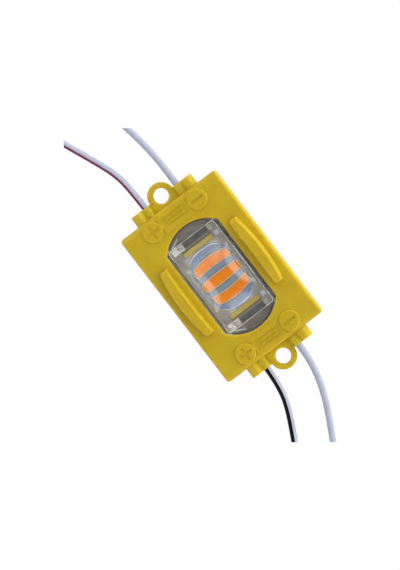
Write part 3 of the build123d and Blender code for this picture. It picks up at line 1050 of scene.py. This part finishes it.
innerFinishes = {
    "chip_case": speckled("black case", (0.016, 0.016, 0.017), (0.03, 0.03, 0.032), 0.12 * mm, 0.55),
    "resistor_body": speckled("resistor glaze", (0.02, 0.02, 0.022), (0.05, 0.048, 0.045), 0.2 * mm, 0.35),
    "pad_copper": speckled("copper pad", (0.78, 0.42, 0.25), (0.65, 0.33, 0.19), 0.3 * mm, 0.35, 1.0),
    "solder": speckled("solder", (0.62, 0.62, 0.64), (0.48, 0.48, 0.5), 0.3 * mm, 0.28, 1.0),
    "die": speckled("die", (0.16, 0.18, 0.3), (0.1, 0.11, 0.2), 0.1 * mm, 0.2),
    "tinned_metal": tinnedFinish,
}
for node in nodes.values():
    for slot in node.material_slots:
        if slot.material.name in innerFinishes:
            slot.material = innerFinishes[slot.material.name]
print("inner parts finished")


# Floor and light: a white tent with an open top, which the camera looks through
studio = {
    "floorSize": 4.0,
    "floorGap": 0.02 * mm,
    "floorColour": (0.9, 0.9, 0.9),
    "floorLight": 1.02,
    "shadowShare": 0.08,  # how much of the floor's own shading shows
    "openingX": (-0.555, 1.106),  # the open top, at a height of 1
    "openingY": (-1.06, 1.03),
    "openingEdge": 0.24,
    "horizon": 0.01,  # the opening ends this little above it
    "openingLight": 0.98,
    "tentLight": 0.85,
    "endLight": 0.28,  # more light from both ends
    "brightSide": 0.72,  # more light from the minus side, less from the plus side
    "openingGlare": 0.06,  # what gloss mirrors of the opening, the tent's ends and its sides
    "endGlare": 1.6,
    "sideGlare": 2.2,
    "lampGlare": 3.3,  # more on the minus side, where the key lamp stands
    "cornerDim": 3.0,  # less in the corners and low down at the left end
    "endDim": 2.5,
    "endStart": 0.65,
    "mostGlare": 3.9,
    "lamp": {
        "azimuth": 86,  # degrees, from +X towards +Y
        "polar": 87,  # degrees from straight up
        "distance": 0.7,
        "size": (0.5, 0.05),
        "light": 22.0,
    },
}


def makeFloor():
    material = newMaterial("paper floor", studio["floorColour"], 0.9)
    white = addNode(material, "ShaderNodeEmission", Strength=studio["floorLight"])
    rays = addNode(material, "ShaderNodeLightPath").outputs
    seen = rays["Is Camera Ray"]
    for name in ("Is Glossy Ray", "Is Transmission Ray"):
        seen = calc(material, "MAXIMUM", seen, rays[name])
    share = calc(material, "MULTIPLY", seen, 1 - studio["shadowShare"])
    mixShaders(material, share, shaderOf(material).outputs["BSDF"], white.outputs["Emission"])
    bm = bmesh.new()
    bmesh.ops.create_grid(bm, x_segments=2, y_segments=2, size=studio["floorSize"] / 2)
    mesh = bpy.data.meshes.new("floor")
    bm.to_mesh(mesh)
    bm.free()
    mesh.materials.append(material)
    floor = bpy.data.objects.new("floor", mesh)
    floor.location.z = cadLow.z - studio["floorGap"]
    scene.collection.objects.link(floor)


def openingMask(world, x, y, z):
    # 1 towards the open top and 0 elsewhere, with a soft edge
    edge = studio["openingEdge"]
    mask = addRange(world, z, (0.0, studio["horizon"]), kind="SMOOTHSTEP")
    for way, (low, high) in ((x, studio["openingX"]), (y, studio["openingY"])):
        slope = calc(world, "DIVIDE", way, z)
        for limits in ((low - edge, low + edge), (high + edge, high - edge)):
            mask = calc(world, "MULTIPLY", mask, addRange(world, slope, limits, kind="SMOOTHSTEP"))
    return mask


def tentLight(world, x, y):
    light = calc(world, "MULTIPLY_ADD", y, studio["brightSide"], studio["tentLight"])
    return calc(world, "MULTIPLY_ADD", calc(world, "ABSOLUTE", x), studio["endLight"], light)


def tentGlare(world, x, y):
    aside = calc(world, "ABSOLUTE", y)
    glare = calc(world, "MULTIPLY_ADD", aside, studio["sideGlare"], studio["endGlare"])
    lampSide = calc(world, "MAXIMUM", y, 0.0)
    glare = calc(world, "MULTIPLY_ADD", lampSide, studio["lampGlare"], glare)
    leftward = calc(world, "MAXIMUM", calc(world, "MULTIPLY", x, -1.0), 0.0)
    corner = calc(world, "MULTIPLY", leftward, aside)
    glare = calc(world, "MULTIPLY_ADD", corner, -studio["cornerDim"], glare)
    far = calc(world, "MAXIMUM", calc(world, "SUBTRACT", leftward, studio["endStart"]), 0.0)
    glare = calc(world, "MULTIPLY_ADD", far, -studio["endDim"], glare)
    return calc(world, "MINIMUM", calc(world, "MAXIMUM", glare, 0.0), studio["mostGlare"])


def makeTent():
    world = bpy.data.worlds.new("tent")
    scene.world = world
    world.use_nodes = True
    back = world.node_tree.nodes["Background"]
    back.inputs["Color"].default_value = (1, 1, 1, 1)
    place = addNode(world, "ShaderNodeTexCoord")
    apart = addNode(world, "ShaderNodeSeparateXYZ")
    feed(world, apart.inputs["Vector"], place.outputs["Generated"])
    x, y, z = apart.outputs
    inside = openingMask(world, x, y, z)
    light = mixValues(world, inside, tentLight(world, x, y), studio["openingLight"])
    gloss = mixValues(world, inside, tentGlare(world, x, y), studio["openingGlare"])
    rays = addNode(world, "ShaderNodeLightPath").outputs
    level = mixValues(world, rays["Is Glossy Ray"], light, gloss)
    level = mixValues(world, rays["Is Camera Ray"], level, 1.0)
    feed(world, back.inputs["Strength"], level)


def addLamp(name, lamp):
    data = bpy.data.lights.new(name, "AREA")
    data.shape = "RECTANGLE"
    data.size, data.size_y = lamp["size"]
    data.energy = lamp["light"] * math.pi * data.size * data.size_y
    holder = bpy.data.objects.new(name, data)
    turn, drop = math.radians(lamp["azimuth"]), math.radians(lamp["polar"])
    flat = math.sin(drop)
    out = Vector((math.cos(turn) * flat, math.sin(turn) * flat, math.cos(drop)))
    holder.location = out * lamp["distance"]
    holder.rotation_mode = "QUATERNION"
    holder.rotation_quaternion = out.to_track_quat("Z", "Y")
    holder.visible_camera = False
    holder.visible_glossy = False
    scene.collection.objects.link(holder)


makeFloor()
makeTent()
addLamp("key", studio["lamp"])
print("studio lit")
